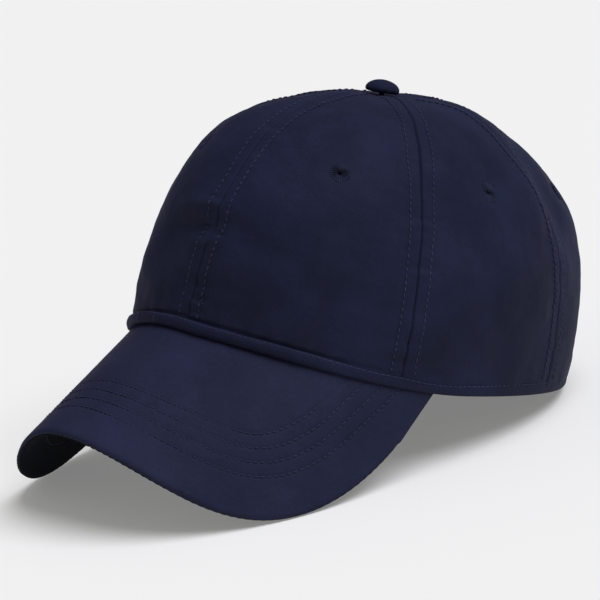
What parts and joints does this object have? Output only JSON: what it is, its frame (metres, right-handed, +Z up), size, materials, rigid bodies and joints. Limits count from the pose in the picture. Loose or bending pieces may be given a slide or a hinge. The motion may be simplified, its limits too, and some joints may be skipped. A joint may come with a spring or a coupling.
{
  "type": "baseball cap",
  "caption": "Soft six-panel fabric baseball cap with a curved visor, covered top button, sewn eyelets, inner sweatband and an adjustable rear strap with a clamp buckle.",
  "frame": {"origin": "on the floor, under the centre of the cap's bounding box, the cap standing on the two lowest side edges of its visor and on its rear hem", "axes": "+Z up from the floor, -Y towards the front of the visor, +X to the wearer's left; the crown's own upright axis is tipped nose-up by 15.4 degrees about X"},
  "size_m": [0.162, 0.275, 0.1431],
  "materials": {
    "crown_fabric": "matte navy nylon with a soft sheen",
    "visor_fabric": "matte navy nylon with a soft sheen",
    "binding_fabric": "matte navy nylon",
    "button_fabric": "matte navy nylon",
    "strap_fabric": "matte navy nylon",
    "thread": "navy embroidery thread",
    "tape_fabric": "plain navy woven tape",
    "buckram": "stiffened open weave",
    "padding": "foam-backed cloth",
    "sweatband_fabric": "soft navy twill",
    "label_fabric": "blank white woven label",
    "visor_plastic": "translucent white polyethylene board",
    "button_steel": "plated steel",
    "buckle_metal": "antiqued metal, satin"
  },
  "bodies": {
    "crown": {"front_left_panel": "crown_fabric", "front_right_panel": "crown_fabric", "side_left_panel": "crown_fabric", "side_right_panel": "crown_fabric", "rear_left_panel": "crown_fabric", "rear_right_panel": "crown_fabric", "front_left_stiffener": "buckram", "front_right_stiffener": "buckram", "centre_seam_tape": "tape_fabric", "front_left_seam_tape": "tape_fabric", "front_right_seam_tape": "tape_fabric", "rear_left_seam_tape": "tape_fabric", "rear_right_seam_tape": "tape_fabric", "forehead_pad": "padding", "sweatband": "sweatband_fabric", "care_label": "label_fabric", "hem_binding": "binding_fabric", "rear_arch_binding": "binding_fabric", "front_left_eyelet": "thread", "front_right_eyelet": "thread", "side_left_eyelet": "thread", "side_right_eyelet": "thread", "rear_left_eyelet": "thread", "rear_right_eyelet": "thread", "button_cover": "button_fabric", "button_shell": "button_steel", "button_rivet": "button_steel", "button_backing": "button_steel", "visor_board": "visor_plastic", "visor_top_cover": "visor_fabric", "visor_under_cover": "visor_fabric", "strap_anchor": "strap_fabric", "strap_keeper": "strap_fabric", "buckle_frame": "buckle_metal", "buckle_pin": "buckle_metal", "buckle_loop": "strap_fabric"},
    "strap": {"strap": "strap_fabric"},
    "buckle_lever": {"buckle_lever": "buckle_metal"}
  },
  "joints": [
    {"name": "strap_slide", "type": "hinge", "parent": "crown", "child": "strap", "pos_m": [0, 0.07136, 0.02786], "axis": [0, -0.2656, -0.9641], "range_deg": [-8, 8]},
    {"name": "buckle_lever_hinge", "type": "hinge", "parent": "crown", "child": "buckle_lever", "pos_m": [0.02058, 0.12453, 0.01321], "axis": [0, -0.2656, -0.9641], "range_deg": [0, 100]}
  ]
}
